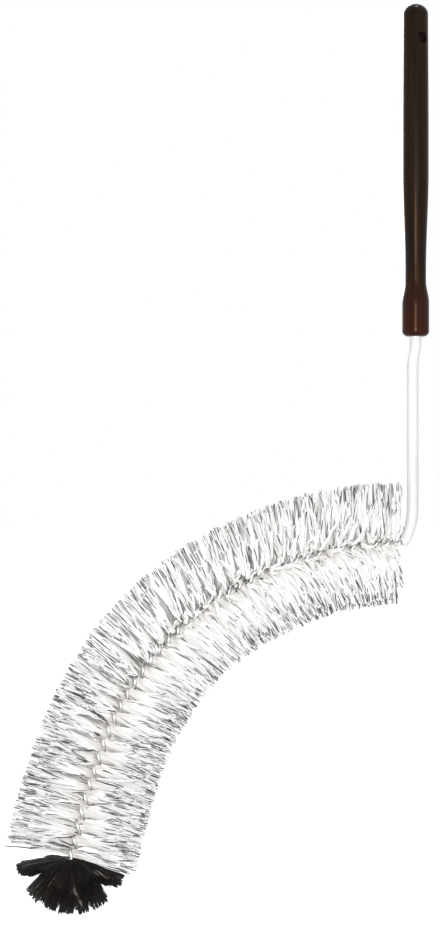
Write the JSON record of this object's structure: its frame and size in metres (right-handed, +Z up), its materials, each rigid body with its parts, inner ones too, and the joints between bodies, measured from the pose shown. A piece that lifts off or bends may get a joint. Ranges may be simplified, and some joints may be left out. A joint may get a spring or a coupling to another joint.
{
  "type": "carboy brush",
  "caption": "Curved carboy brush: turned dark handle, sleeved wire stem with an elbow, long arching head of white bristles on twisted wire, and a fan of black bristles at the tip.",
  "frame": {"origin": "middle of the hanging hole, on the handle's axis", "axes": "+Z up along the handle towards its rounded top, the bent wire's centreline lies in the XZ plane with the bristled head towards -X, and the picture looks along +Y"},
  "size_m": [0.3321, 0.0999, 0.7167],
  "materials": {
    "handle": "very dark brown stain under clear gloss lacquer",
    "stem_sleeve": "smooth white PVC tube",
    "core_wire": "bright galvanised steel wire",
    "white_bristle": "white nylon bristle",
    "black_bristle": "coarse black bristle"
  },
  "bodies": {
    "root": {"handle": "handle", "stem_sleeve": "stem_sleeve", "core_wire": "core_wire", "bristle_turn_01": "white_bristle", "bristle_turn_02": "white_bristle", "bristle_turn_03": "white_bristle", "bristle_turn_04": "white_bristle", "bristle_turn_05": "white_bristle", "bristle_turn_06": "white_bristle", "bristle_turn_07": "white_bristle", "bristle_turn_08": "white_bristle", "bristle_turn_09": "white_bristle", "bristle_turn_10": "white_bristle", "bristle_turn_11": "white_bristle", "bristle_turn_12": "white_bristle", "bristle_turn_13": "white_bristle", "bristle_turn_14": "white_bristle", "bristle_turn_15": "white_bristle", "bristle_turn_16": "white_bristle", "bristle_turn_17": "white_bristle", "bristle_turn_18": "white_bristle", "bristle_turn_19": "white_bristle", "tip_fan": "black_bristle"}
  },
  "joints": []
}
